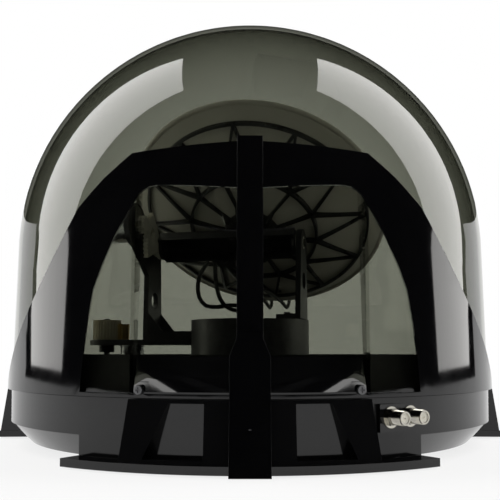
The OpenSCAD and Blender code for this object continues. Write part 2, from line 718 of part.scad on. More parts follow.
module centre_post() {
    color([0.65, 0.66, 0.68]) difference() {
        union() {
            translate([0, 0, well_z + 0.02]) cylinder(h = flange_h, r = sleeve_r);
            translate([0, 0, well_z + 1]) cylinder(h = post_top - well_z - 1, r = post_r);
        }
        cylinder(h = far, r = post_bore);
        // groove for the retaining ring
        ring(post_r + 1, post_r - 1, sleeve_top + 0.3, ring_clip_t + 0.2);
        for (a = [0, 90, 180, 270]) rotate([0, 0, a + 45]) translate([19, 0, well_z - 1])
            cylinder(h = 20, r = 1.3, $fn = 24);
    }
}
module post_leads() {
    color([0.08, 0.08, 0.08]) {
        lead(post_route_a, lead_r);
        lead(post_route_b, lead_r);
    }
}
module board_corners() {
    for (x = [-1, 1]) for (y = [-1, 1])
        translate([board_c[0] + x * (board_w / 2 - 6), board_c[1] + y * (board_d / 2 - 6), 0])
            children();
}
module control_board() {
    color([0.1, 0.35, 0.18]) difference() {
        translate([board_c[0] - board_w / 2, board_c[1] - board_d / 2, board_z])
            cube([board_w, board_d, board_t]);
        board_corners() translate([0, 0, board_z - 1]) cylinder(h = 10, r = 1.7, $fn = 24);
        // clears one of the deck's pillars
        translate([0, -90, board_z - 1]) cylinder(h = 10, r = 8);
    }
}
module board_standoffs() {
    color([0.75, 0.65, 0.35]) board_corners() difference() {
        translate([0, 0, floor_top + 0.02]) cylinder(h = board_z - floor_top - 0.04, r = 3, $fn = 6);
        translate([0, 0, board_z - 8]) cylinder(h = 10, r = 1.5, $fn = 24);
    }
}
module board_screws() {
    color([0.7, 0.7, 0.72]) board_corners() translate([0, 0, board_top + 0.02]) screw(2.8, 1.8, 1.45, 6);
}
module board_chips() {
    color([0.08, 0.08, 0.08]) {
        translate([82, -96, board_top + 0.02]) cube([16, 16, 1.6]);
        translate([20, -118, board_top + 0.02]) cube([10, 13, 1.4]);
        translate([38, -76, board_top + 0.02]) cube([12, 9, 1.4]);
        translate([90, -72, board_top + 0.02]) cube([8, 6, 1.2]);
    }
}
module shield_can() {
    color([0.75, 0.76, 0.78]) translate([40, -124, board_top + 0.02]) difference() {
        cube([34, 30, 8]);
        translate([0.5, 0.5, -1]) cube([33, 29, 8.5]);
    }
}
module capacitors() {
    color([0.15, 0.18, 0.3]) for (p = [[98, -104], [98, -122], [70, -66]])
        translate([p[0], p[1], board_top + 0.02]) difference() {
            cylinder(h = 20, r = 6);
            ring(7, 5.5, 2.2, 1);
        }
}
module board_sockets() {
    color([0.9, 0.9, 0.86]) for (p = [[66, -130], [84, -128], [28, -68], [14, -68]])
        translate([p[0], p[1], board_top + 0.02]) cylinder(h = 31 - board_top - 0.07, r = 3.6, $fn = 48);
}

// ---------------------------------------------------------------- turntable

module thrust_washer() {
    color([0.85, 0.82, 0.7]) ring(sleeve_r - 1, post_r + 0.2, well_z + flange_h + 0.05, washer_h);
}
module turntable() {
    color([0.09, 0.09, 0.095]) on_turntable() difference() {
        union() {
            difference() {
                translate([0, 0, drum_bottom]) cylinder(h = drum_top - drum_bottom, r = drum_r);
                translate([0, 0, drum_bottom - 1])
                    cylinder(h = drum_top - drum_wall - drum_bottom + 1, r = drum_r - drum_wall);
            }
            translate([0, 0, sleeve_z]) cylinder(h = drum_top - drum_wall - sleeve_z + eps, r = sleeve_r);
            // webs between the sleeve and the drum
            for (a = [60, 120, 240, 300]) rotate([0, 0, a])
                translate([sleeve_r - 1, -1.5, drum_bottom + 6])
                    cube([drum_r - sleeve_r - 1, 3, drum_top - drum_bottom - 7]);
            // drive arm to the left, with two stiffening ribs above it
            translate([-arm_end + arm_w / 2, -arm_w / 2, arm_z])
                cube([arm_end - arm_w / 2 - drum_r + 3, arm_w, arm_t]);
            translate([-arm_end + arm_w / 2, 0, arm_z]) cylinder(h = arm_t, r = arm_w / 2);
            for (s = [-1, 1]) translate([left_u + 4, s * (arm_w / 2 - 2) - 1.5, arm_z + arm_t - eps])
                cube([-left_u - 4 - drum_r + 5, 3, 8]);
            // boss for the drive shaft's bush
            translate([-drive_u, 0, arm_z - 7]) cylinder(h = 7 + arm_t, r = 7.5);
            // tab for the turning stop
            translate([-stop_r - 6.5, -stop_w / 2, well_z + 0.8]) cube([9, stop_w, drum_bottom - well_z + 6]);
            // pad under the right yoke arm
            translate([right_in - 18, -yoke_half_w, drum_top - eps]) cube([18, 2 * yoke_half_w, 1]);
        }
        translate([0, 0, sleeve_z - 1]) cylinder(h = sleeve_top - sleeve_z + 1, r = post_r + bush_t);
        translate([0, 0, sleeve_top - eps]) cylinder(h = drum_top - drum_wall - 3 - sleeve_top, r = 20.5);
        cylinder(h = far, r = post_bore + 2.5);
        translate([-drive_u, 0, arm_z - 10]) cylinder(h = 40, r = drive_shaft_r + 2);
        translate([az_motor_u, 0, arm_z - 1]) cylinder(h = arm_t + 2, r = 5);
        yoke_screw_places() translate([0, 0, -12]) cylinder(h = 20, r = 1.55, $fn = 24);
    }
}
// Screws down through the feet of the yoke arms
module yoke_screw_places() {
    for (y = [-11.2, 11.2]) {
        translate([left_in + 10, y, arm_z + arm_t + 4]) children();
        translate([right_in - 9, y, drum_top + 1 + 4]) children();
    }
}
module turntable_bush() {
    color([0.8, 0.72, 0.5]) ring(post_r + bush_t - 0.05, post_r + run_gap, sleeve_z, sleeve_top - sleeve_z - 0.1);
}
module retaining_ring() {
    color([0.7, 0.7, 0.72]) difference() {
        ring(18.5, post_r - 0.9, sleeve_top + 0.4, ring_clip_t);
        translate([0, -2.5, 0]) cube([30, 5, far]);
    }
}
module hub_grommet() {
    r = post_bore + 2.5;
    color([0.1, 0.1, 0.1]) {
        ring(r - 0.05, 6, drum_top - drum_wall, drum_wall + 0.1);
        ring(r + 3, 6, drum_top + 0.02, 2);
    }
}
module yoke_plate(base_z, half_w, boss) {
    union() {
        linear_extrude(yoke_t) polygon([[-half_w, base_z], [half_w, base_z],
            [boss * 0.98, pivot_z + 3], [-boss * 0.98, pivot_z + 3]]);
        translate([0, pivot_z, 0]) cylinder(h = yoke_t, r = boss);
    }
}
module left_yoke_arm() {
    base_z = arm_z + arm_t + 0.02;
    color([0.07, 0.07, 0.075]) on_turntable() difference() {
        union() {
            along_pivot(left_u - yoke_t / 2) {
                yoke_plate(base_z, yoke_half_w, pivot_boss_r);
                // lobe that holds the elevation motor
                translate([el_y, pivot_z + el_z, 0]) cylinder(h = yoke_t, r = el_motor_r + 3);
                linear_extrude(yoke_t) polygon([[-14, pivot_z - 30], [0, pivot_z - 10], [4, pivot_z + 12],
                    [el_y + 4, pivot_z + el_z + 18], [el_y - 16, pivot_z + el_z - 10]]);
            }
            // foot, and a gusset
            translate([left_in - eps, -yoke_half_w, base_z]) cube([20, 2 * yoke_half_w, 4]);
            for (y = [-yoke_half_w, yoke_half_w - 3]) translate([left_in - eps, y, base_z]) rotate([90, 0, 0])
                translate([0, 0, -3]) linear_extrude(3) polygon([[0, 0], [18, 0], [18, 4], [0, 26]]);
        }
        along_pivot(left_u - yoke_t / 2 - 1) {
            translate([0, pivot_z, 0]) cylinder(h = yoke_t + 2, r = bush_r);
            translate([el_y, pivot_z + el_z, 0]) cylinder(h = yoke_t + 2, r = 6);
            // lightening hole
            translate([0, pivot_z - 52, 0]) cylinder(h = yoke_t + 2, r = 8);
        }
        yoke_screw_places() translate([0, 0, -10]) cylinder(h = 20, r = 1.9, $fn = 24);
    }
}
module right_yoke_arm() {
    base_z = drum_top + 1.02;
    color([0.07, 0.07, 0.075]) on_turntable() difference() {
        union() {
            along_pivot(right_u - yoke_t / 2) yoke_plate(base_z, yoke_half_w, pivot_boss_r - 2);
            translate([right_in - 18 + eps, -yoke_half_w, base_z]) cube([18, 2 * yoke_half_w, 4]);
        }
        along_pivot(right_u - yoke_t / 2 - 1) {
            translate([0, pivot_z, 0]) cylinder(h = yoke_t + 2, r = bush_r);
            translate([0, pivot_z - 36, 0]) cylinder(h = yoke_t + 2, r = 8);
        }
        yoke_screw_places() translate([0, 0, -10]) cylinder(h = 20, r = 1.9, $fn = 24);
    }
}
module yoke_screws() {
    color([0.6, 0.6, 0.62]) on_turntable() yoke_screw_places() translate([0, 0, 0.1]) screw(3.2, 2, 1.5, 8);
}
// Flanged bushes in the yoke arms, flanges inwards
module pivot_bushes() {
    color([0.85, 0.8, 0.65]) on_turntable() translate([0, 0, pivot_z]) {
        along_pivot(left_u - yoke_t / 2) {
            ring(bush_r - 0.02, pin_r + run_gap, 0, yoke_t + 0.02);
            ring(bush_r + 2.5, pin_r + run_gap, yoke_t + 0.02, bush_flange_t);
        }
        along_pivot(right_in - 0.02) {
            ring(bush_r - 0.02, pin_r + run_gap, 0, yoke_t + 0.02);
            ring(bush_r + 2.5, pin_r + run_gap, -bush_flange_t, bush_flange_t);
        }
    }
}
module azimuth_motor() {
    color([0.7, 0.71, 0.73]) on_turntable() translate([az_motor_u, 0, 0]) difference() {
        union() {
            translate([motor_offset, 0, 0]) {
                translate([0, 0, arm_z - 0.02 - motor_h]) cylinder(h = motor_h - 1, r = motor_r - 0.5);
                translate([0, 0, arm_z - 1.5]) cylinder(h = 1.48, r = motor_r);
                translate([0, 0, arm_z - motor_h - 1.5]) cylinder(h = 2, r = 4);
            }
            translate([0, 0, arm_z - 0.5]) cylinder(h = 2.4, r = 4.6);
            translate([0, 0, arm_z - 9]) cylinder(h = 8.9, r = 2.6);
        }
        translate([0, 0, arm_z - 12]) cylinder(h = 20, r = motor_shaft_r + run_gap);
    }
}
module elevation_motor() {
    color([0.72, 0.73, 0.75]) on_turntable() translate([0, el_y, pivot_z + el_z])
        rotate([0, -90, 0]) translate([0, 0, -left_u + yoke_t / 2 + 0.02]) difference() {
            union() {
                cylinder(h = 1.6, r = el_motor_r);
                translate([0, 0, 1.5]) cylinder(h = el_motor_h - 1.5, r = el_motor_r - 0.8);
                translate([0, 0, el_motor_h - 0.5]) cylinder(h = 2.5, r = 5);
                translate([0, 0, -2.5]) cylinder(h = 3, r = 5.5);
                // terminal block
                translate([el_motor_r - 5, -7, 3]) cube([8, 14, el_motor_h - 6]);
            }
            translate([0, 0, -4]) cylinder(h = 15, r = el_shaft_r + run_gap);
        }
}
module drive_bush() {
    color([0.8, 0.72, 0.5]) on_turntable() translate([-drive_u, 0, 0])
        ring(drive_shaft_r + 1.98, drive_shaft_r + run_gap, arm_z - 7, 7 + arm_t);
}
module loop_leads() {
    color([0.08, 0.08, 0.08]) {
        lead(loop_route_a, lead_r);
        lead(loop_route_b, lead_r);
    }
}

// ---------------------------------------------------------------- gears that turn

module drum_gear() {
    z = arm_z + arm_t + drum_gap;
    color([0.86, 0.8, 0.62]) on_turntable() translate([-drive_u, 0, z])
        spur(drum_teeth, fine_module, drum_h, drive_shaft_r + 0.02, 180 / drum_teeth);
}
module drive_shaft() {
    color([0.75, 0.75, 0.77]) on_turntable() translate([-drive_u, 0, 0]) {
        translate([0, 0, ring_z + 0.5])
            cylinder(h = arm_z + arm_t + drum_gap + drum_h + 1 - ring_z, r = drive_shaft_r);
        translate([0, 0, ring_z + 0.5]) rotate([0, 0, 180 + 180 / drive_teeth])
            linear_extrude(ring_h - 0.5)
                polygon(gear_points(drive_teeth, drive_pitch_r, 0.8 * gear_module, 1.05 * gear_module));
    }
}
module azimuth_pinion() {
    z = arm_z + arm_t + drum_gap;
    color([0.8, 0.66, 0.35]) on_turntable() translate([az_motor_u, 0, 0]) {
        translate([0, 0, z]) rotate([0, 0, 180]) linear_extrude(drum_h - 4)
            polygon(gear_points(motor_teeth, motor_pitch_r, 0.8 * fine_module, 1.05 * fine_module));
        translate([0, 0, arm_z - 8]) cylinder(h = 8 + arm_t + drum_gap + 1, r = motor_shaft_r);
    }
}
module elevation_pinion() {
    color([0.85, 0.85, 0.82]) on_turntable() translate([0, el_y, pivot_z + el_z]) {
        along_pivot(sector_u - 1) rotate([0, 0, el_angle + 180 + 180 / el_teeth])
            linear_extrude(sector_t + 2)
                polygon(gear_points(el_teeth, el_pitch_r, 0.8 * el_module, 1.05 * el_module));
        along_pivot(left_u - yoke_t / 2 - 8) cylinder(h = sector_u - left_u + yoke_t / 2 + 8, r = el_shaft_r);
    }
}

// ---------------------------------------------------------------- dish

function bowl(r) = vertex + dish_depth * r * r / (dish_r * dish_r);
bowl_steps = 20;
module reflector() {
    color([0.86, 0.83, 0.76]) on_dish() difference() {
        union() {
            rotate_extrude($fn = 180) polygon(concat(
                [for (i = [0 : bowl_steps]) let (r = dish_r * i / bowl_steps) [r, bowl(r)]],
                [for (i = [bowl_steps : -1 : 0]) let (r = dish_r * i / bowl_steps) [r, bowl(r) - dish_t]]));
            // rolled rim
            rotate_extrude($fn = 180) translate([dish_r, rim_off - 1]) circle(r = 2.4, $fn = 32);
        }
        feed_screw_places() translate([0, 0, -8]) cylinder(h = 16, r = 1.7, $fn = 24);
        bracket_screw_places() cylinder(h = 40, r = 1.7, $fn = 24);
    }
}
// Volume behind the bowl that the ribbed moulding fills
module back_volume() {
    steps = bowl_steps;
    rotate_extrude($fn = 180) polygon(concat(
        [for (i = [0 : steps - 2]) let (r = dish_r * i / steps) [r, bowl(r) - dish_t - back_gap]],
        [[dish_r * (steps - 2) / steps, bowl(dish_r * (steps - 2) / steps) - dish_t - back_gap - 4],
            [back_ring_r, bowl(back_ring_r) - dish_t - back_gap - 6], [back_hub_r + 9, vertex - 2.8],
            [back_hub_r + 3, plate_hi + 0.05], [0, plate_hi + 0.05]]));
}
module rib(p, q) {
    d = q - p;
    translate([p[0], p[1], 0]) rotate([0, 0, atan2(d[1], d[0])])
        translate([0, -rib_t / 2, 0]) cube([norm(d), rib_t, rim_off]);
}
module dish_back() {
    color([0.1, 0.1, 0.11]) on_dish() difference() {
        intersection() {
            back_volume();
            union() {
                cylinder(h = rim_off, r = back_hub_r);
                ring(back_ring_r + rib_t / 2, back_ring_r - rib_t / 2, 0, rim_off);
                ring(back_rim_r + rib_t / 2, back_rim_r - rib_t / 2, 0, rim_off);
                for (i = [0 : rib_count - 1]) {
                    a = (i + 0.5) * 360 / rib_count;
                    b = a + 180 / rib_count;
                    c = a - 180 / rib_count;
                    rib(polar([back_hub_r - 2, a]), polar([back_ring_r, a]));
                    rib(polar([back_ring_r, a]), polar([back_rim_r, b]));
                    rib(polar([back_ring_r, a]), polar([back_rim_r, c]));
                }
            }
        }
        bracket_screw_places() cylinder(h = 40, r = 1.6, $fn = 24);
        feed_screw_places() translate([0, 0, -12]) cylinder(h = 20, r = 3, $fn = 24);
    }
}
module bracket_screw_places() {
    for (x = [-17, 17]) for (y = [-9, 9]) translate([x, y, 0]) children();
}
module dish_bracket() {
    w = 30;
    color([0.12, 0.12, 0.125]) on_dish() difference() {
        union() {
            translate([left_ear_u, -w / 2, plate_lo])
                cube([right_ear_u + ear_t - left_ear_u, w, plate_hi - plate_lo]);
            // stiffening flanges
            for (y = [-w / 2, w / 2 - 2]) translate([left_ear_u, y, -5])
                cube([right_ear_u + ear_t - left_ear_u, 2, plate_hi + 5]);
            for (u = [left_ear_u, right_ear_u]) translate([u, 0, 0]) {
                translate([0, -w / 2, -5]) cube([ear_t, w, plate_hi + 5]);
                rotate([90, 0, 90]) cylinder(h = ear_t, r = 12);
            }
        }
        for (u = [left_ear_u, right_ear_u]) along_pivot(u - 1) cylinder(h = ear_t + 2, r = pin_r + 0.02);
        bracket_screw_places() translate([0, 0, -10]) cylinder(h = 40, r = 1.7, $fn = 24);
    }
}
module bracket_screws() {
    color([0.7, 0.7, 0.72]) on_dish() bracket_screw_places() translate([0, 0, plate_lo - 0.02])
        mirror([0, 0, 1]) screw(3, 2, 1.5, vertex - dish_t - plate_lo - 0.3);
}
module pivot_pins() {
    color([0.78, 0.78, 0.8]) on_dish() {
        along_pivot(left_u - yoke_t / 2 - 2) difference() {
            cylinder(h = left_ear_u + ear_t + 1 - left_u + yoke_t / 2 + 2, r = pin_r);
            translate([0, 0, -1]) cylinder(h = 3, r = 1.6, $fn = 6);
        }
        along_pivot(right_ear_u - 1) difference() {
            cylinder(h = right_u + yoke_t / 2 + 2 - right_ear_u + 1, r = pin_r);
            translate([0, 0, right_u + yoke_t / 2 + 1 - right_ear_u]) cylinder(h = 4, r = 1.6, $fn = 6);
        }
    }
}
module sector_gear() {
    pitch = 360 / sector_teeth;
    count = 2 * floor(sector_half / pitch) + 1;
    // a tooth of the sector lies on the line to the pinion at rest
    shift = round(5 / pitch) * pitch;
    first = el_angle + tilt + shift - (count - 1) / 2 * pitch;
    root = sector_teeth * el_module / 2 - 1.05 * el_module;
    last = first + (count - 1) * pitch;
    color([0.88, 0.84, 0.72]) on_dish() along_pivot(sector_u) difference() {
        union() {
            linear_extrude(sector_t - 0.02) polygon(concat([[0, 0]],
                gear_points(sector_teeth, sector_teeth * el_module / 2, 0.8 * el_module, 1.05 * el_module,
                    first, count)));
            cylinder(h = sector_t - 0.02, r = 11);
        }
        translate([0, 0, -1]) cylinder(h = sector_t + 2, r = pin_r + 0.02);
        // lightening slot between two arcs
        translate([0, 0, -1]) rotate([0, 0, (first + last) / 2 - 18]) rotate_extrude(angle = 36)
            translate([root - 15, 0]) square([9, sector_t + 2]);
    }
}

// Feed arm from the lower part of the bowl to the feed
module feed_screw_places() {
    for (x = [-6.6, 6.6]) translate([x, feed_y, bowl(feed_y) + 0.9]) rotate([feed_slope, 0, 0])
        translate([0, 0, 3.05]) children();
}
module feed_arm() {
    color([0.12, 0.12, 0.125]) on_dish() difference() {
        union() {
            translate([0, feed_y, bowl(feed_y) + 0.9]) rotate([feed_slope, 0, 0])
                translate([-10, -11, 0]) cube([20, 22, 3]);
            along_x(feed_w - 6) polygon([[93, bowl(feed_y) + 1], [109, bowl(feed_y) + 6.5],
                [lnb_w / 2 + 10, horn_z + 25], [lnb_w / 2 + 0.1, horn_z + 25], [lnb_w / 2 + 0.1, horn_z + 15]]);
            // saddle that takes the feed's body
            translate([-8, lnb_w / 2 + 0.1, horn_z + 12]) cube([16, 4, 26]);
        }
        feed_screw_places() translate([0, 0, -8]) cylinder(h = 30, r = 1.7, $fn = 24);
    }
}
module feed_screws() {
    color([0.7, 0.7, 0.72]) on_dish() feed_screw_places() screw(2.6, 1.8, 1.5, 6.5);
}
module lnb_body() {
    color([0.75, 0.75, 0.74]) on_dish() translate([0, 0, horn_z]) {
        translate([0, 0, 4]) cylinder(h = 12, r = 19);
        translate([0, 0, 15.9]) cylinder(h = 6.2, r1 = 19, r2 = 15);
        translate([-lnb_w / 2, -lnb_w / 2 + 4, 18]) cube([lnb_w, lnb_w - 4, 20]);
    }
}
module feed_horn_cap() {
    color([0.9, 0.88, 0.8]) on_dish() translate([0, 0, horn_z]) difference() {
        cylinder(h = 10, r = 21);
        translate([0, 0, 3.9]) cylinder(h = 8, r = 19.1);
    }
}
module lnb_ports() {
    color([0.78, 0.74, 0.62]) on_dish() for (x = [-16, 16])
        translate([x, lnb_w / 2 + 0.02, horn_z + 30]) rotate([-90, 0, 0]) difference() {
            union() {
                cylinder(h = 9, r = port_r);
                translate([0, 0, 0.5]) cylinder(h = 2.4, r = port_r + 1.44, $fn = 6);
            }
            translate([0, 0, 3.5]) cylinder(h = 9, r = 3.4);
        }
}
module lnb_leads() {
    color([0.08, 0.08, 0.08]) on_dish() {
        lead(dish_route_a, lead_r);
        lead(dish_route_b, lead_r);
    }
}
module lead_clip() {
    color([0.1, 0.1, 0.1]) on_dish() translate([-33, 15.05, -9]) difference() {
        cube([16, 6, 10]);
        translate([4.4, -1, 5]) rotate([-90, 0, 0]) cylinder(h = 8, r = lead_r + 0.9, $fn = 32);
        translate([10.4, -1, 5]) rotate([-90, 0, 0]) cylinder(h = 8, r = lead_r + 0.9, $fn = 32);
    }
}

base_tub();
foot_pads();
roof_inserts();
radome();
dome_seal();
dome_screws();
rear_frame();
frame_screws();
carry_handle();
handle_screws();
coax_jacks();
jack_nuts();
jack_washers();
jack_insulators();
jack_leads();
deck();
deck_screws();
ring_gear();
centre_post();
post_leads();
control_board();
board_standoffs();
board_screws();
board_chips();
shield_can();
capacitors();
board_sockets();
thrust_washer();
turntable();
turntable_bush();
retaining_ring();
hub_grommet();
left_yoke_arm();
right_yoke_arm();
yoke_screws();
pivot_bushes();
azimuth_motor();
elevation_motor();
drive_bush();
loop_leads();
drum_gear();
drive_shaft();
azimuth_pinion();
elevation_pinion();
reflector();
dish_back();
dish_bracket();
bracket_screws();
pivot_pins();
sector_gear();
feed_arm();
feed_screws();
lnb_body();
feed_horn_cap();
lnb_ports();
lnb_leads();
lead_clip();
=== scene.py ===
# Domed satellite antenna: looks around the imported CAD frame. Metres, +Z up, handle side towards -Y.
import bpy
import bmesh
import json
import math
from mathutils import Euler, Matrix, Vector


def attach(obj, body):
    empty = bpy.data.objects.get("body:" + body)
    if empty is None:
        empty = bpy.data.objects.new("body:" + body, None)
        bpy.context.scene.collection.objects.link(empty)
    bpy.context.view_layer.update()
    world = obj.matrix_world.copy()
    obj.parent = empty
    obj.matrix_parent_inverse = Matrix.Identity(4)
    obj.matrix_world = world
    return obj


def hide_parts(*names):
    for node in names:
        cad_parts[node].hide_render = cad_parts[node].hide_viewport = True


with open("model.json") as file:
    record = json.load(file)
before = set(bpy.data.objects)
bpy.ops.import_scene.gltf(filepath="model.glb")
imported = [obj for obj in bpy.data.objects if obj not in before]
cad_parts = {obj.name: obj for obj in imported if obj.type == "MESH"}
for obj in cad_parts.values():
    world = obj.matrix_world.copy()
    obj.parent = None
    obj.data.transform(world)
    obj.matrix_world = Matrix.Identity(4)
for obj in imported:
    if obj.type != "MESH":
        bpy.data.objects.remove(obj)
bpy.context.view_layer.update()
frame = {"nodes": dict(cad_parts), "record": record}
scene = bpy.context.scene
MM = 0.001


# ---------------------------------------------------------------- materials

def nodes_of(name):
    m = bpy.data.materials.new(name)
    m.use_nodes = True
    nt = m.node_tree
    nt.nodes.clear()
    out = nt.nodes.new("ShaderNodeOutputMaterial")
    return m, nt, out


def add(nt, kind, **values):
    n = nt.nodes.new(kind)
    for k, v in values.items():
        if hasattr(n, k):
            setattr(n, k, v)
        else:
            n.inputs[k.replace("_", " ")].default_value = v
    return n


def noise(nt, scale, detail=4.0, rough=0.55, stretch=None, distort=0.0):
    tc = nt.nodes.new("ShaderNodeTexCoord")
    src = tc.outputs["Object"]
    if stretch:
        mp = nt.nodes.new("ShaderNodeMapping")
        mp.inputs["Scale"].default_value = stretch
        nt.links.new(src, mp.inputs["Vector"])
        src = mp.outputs["Vector"]
    n = nt.nodes.new("ShaderNodeTexNoise")
    n.inputs["Scale"].default_value = scale
    n.inputs["Detail"].default_value = detail
    n.inputs["Roughness"].default_value = rough
    n.inputs["Distortion"].default_value = distort
    nt.links.new(src, n.inputs["Vector"])
    return n.outputs["Fac"]


def remap(nt, src, lo, hi, a=0.25, b=0.75):
    n = nt.nodes.new("ShaderNodeMapRange")
    n.inputs["From Min"].default_value = a
    n.inputs["From Max"].default_value = b
    n.inputs["To Min"].default_value = lo
    n.inputs["To Max"].default_value = hi
    nt.links.new(src, n.inputs["Value"])
    return n.outputs["Result"]


def mix_colour(nt, fac, a, b):
    n = nt.nodes.new("ShaderNodeMix")
    n.data_type = "RGBA"
    for key, v in (("A", a), ("B", b)):
        s = [i for i in n.inputs if i.name == key and i.type == "RGBA"][0]
        if hasattr(v, "is_linked"):
            nt.links.new(v, s)
        else:
            s.default_value = (*v, 1.0)
    f = [i for i in n.inputs if i.name == "Factor" and i.type == "VALUE"][0]
    if hasattr(fac, "is_linked"):
        nt.links.new(fac, f)
    else:
        f.default_value = fac
    return [o for o in n.outputs if o.type == "RGBA"][0]


def math_node(nt, op, a, b=0.0):
    n = nt.nodes.new("ShaderNodeMath")
    n.operation = op
    for i, v in enumerate((a, b)):
        if hasattr(v, "is_linked"):
            nt.links.new(v, n.inputs[i])
        else:
            n.inputs[i].default_value = v
    return n.outputs[0]


def surface(name, base, second=None, metal=0.0, rough=(0.25, 0.4), tone_scale=25.0, grain=900.0,
            grain_mm=0.01, wave=18.0, wave_mm=0.0, brushed=None, wear=None, ior=1.5, specks=None):
    """A moulded, painted or metal surface: mottled tone, grain, broad waviness, worn edges, fine specks."""
    m, nt, out = nodes_of(name)
    p = nt.nodes.new("ShaderNodeBsdfPrincipled")
    nt.links.new(p.outputs[0], out.inputs["Surface"])
    p.inputs["Metallic"].default_value = metal
    p.inputs["IOR"].default_value = ior
    second = second or tuple(min(1.0, c * 1.35 + 0.004) for c in base)
    tone = remap(nt, noise(nt, tone_scale, 6.0, 0.6), 0.0, 1.0, 0.3, 0.7)
    colour = mix_colour(nt, tone, base, second)
    rough_src = remap(nt, noise(nt, tone_scale * 3.1, 5.0, 0.65), rough[0], rough[1])
    if specks:
        n = remap(nt, noise(nt, specks[0], 2.0, 0.5), 0.0, 1.0, specks[2], specks[2] + 0.05)
        colour = mix_colour(nt, n, colour, specks[1])
        rough_src = math_node(nt, "ADD", rough_src, math_node(nt, "MULTIPLY", n, 0.25))
    if wear:
        geo = nt.nodes.new("ShaderNodeNewGeometry")
        edge = remap(nt, geo.outputs["Pointiness"], 0.0, wear[1], 0.515, 0.56)
        patchy = remap(nt, noise(nt, 160.0, 5.0, 0.7), 0.15, 1.0, 0.35, 0.65)
        broken = math_node(nt, "MULTIPLY", edge, patchy)
        colour = mix_colour(nt, broken, colour, wear[0])
    nt.links.new(colour, p.inputs["Base Color"])
    nt.links.new(rough_src, p.inputs["Roughness"])
    height = None
    if grain_mm:
        stretch = brushed or (1.0, 1.0, 1.0)
        b = nt.nodes.new("ShaderNodeBump")
        b.inputs["Distance"].default_value = grain_mm * MM
        b.inputs["Strength"].default_value = 1.0
        nt.links.new(noise(nt, grain, 3.0, 0.6, stretch), b.inputs["Height"])
        height = b
    if wave_mm:
        w = nt.nodes.new("ShaderNodeBump")
        w.inputs["Distance"].default_value = wave_mm * MM
        w.inputs["Strength"].default_value = 1.0
        nt.links.new(noise(nt, wave, 2.0, 0.5), w.inputs["Height"])
        if height:
            nt.links.new(height.outputs["Normal"], w.inputs["Normal"])
        height = w
    if height:
        nt.links.new(height.outputs["Normal"], p.inputs["Normal"])
    return m


def smoked(name):
    """Smoked see-through plastic: darker looked at aslant, with clean gloss on its front faces."""
    m, nt, out = nodes_of(name)
    facing = nt.nodes.new("ShaderNodeLayerWeight")
    facing.inputs["Blend"].default_value = 0.5
    slant = math_node(nt, "POWER", facing.outputs["Facing"], 1.7)
    haze = remap(nt, noise(nt, 9.0, 5.0, 0.6), 0.0, 0.35, 0.3, 0.8)
    tint = mix_colour(nt, slant, (0.64, 0.648, 0.612), (0.36, 0.366, 0.328))
    tint = mix_colour(nt, math_node(nt, "MULTIPLY", haze, 0.25), tint, (0.56, 0.567, 0.53))
    clear = nt.nodes.new("ShaderNodeBsdfTransparent")
    nt.links.new(tint, clear.inputs["Color"])
    shine = nt.nodes.new("ShaderNodeBsdfAnisotropic")
    shine.inputs["Color"].default_value = (1, 1, 1, 1)
    nt.links.new(remap(nt, noise(nt, 40.0, 5.0, 0.7), 0.012, 0.035), shine.inputs["Roughness"])
    b = nt.nodes.new("ShaderNodeBump")
    b.inputs["Distance"].default_value = 0.012 * MM
    b.inputs["Strength"].default_value = 1.0
    nt.links.new(noise(nt, 14.0, 2.0, 0.5), b.inputs["Height"])
    nt.links.new(b.outputs["Normal"], shine.inputs["Normal"])
    fres = nt.nodes.new("ShaderNodeFresnel")
    fres.inputs["IOR"].default_value = 1.5
    geo = nt.nodes.new("ShaderNodeNewGeometry")
    front = math_node(nt, "SUBTRACT", 1.0, geo.outputs["Backfacing"])
    fac = math_node(nt, "MULTIPLY", fres.outputs[0], front)
    mix = nt.nodes.new("ShaderNodeMixShader")
    nt.links.new(fac, mix.inputs[0])
    nt.links.new(clear.outputs[0], mix.inputs[1])
    nt.links.new(shine.outputs[0], mix.inputs[2])
    nt.links.new(mix.outputs[0], out.inputs["Surface"])
    return m


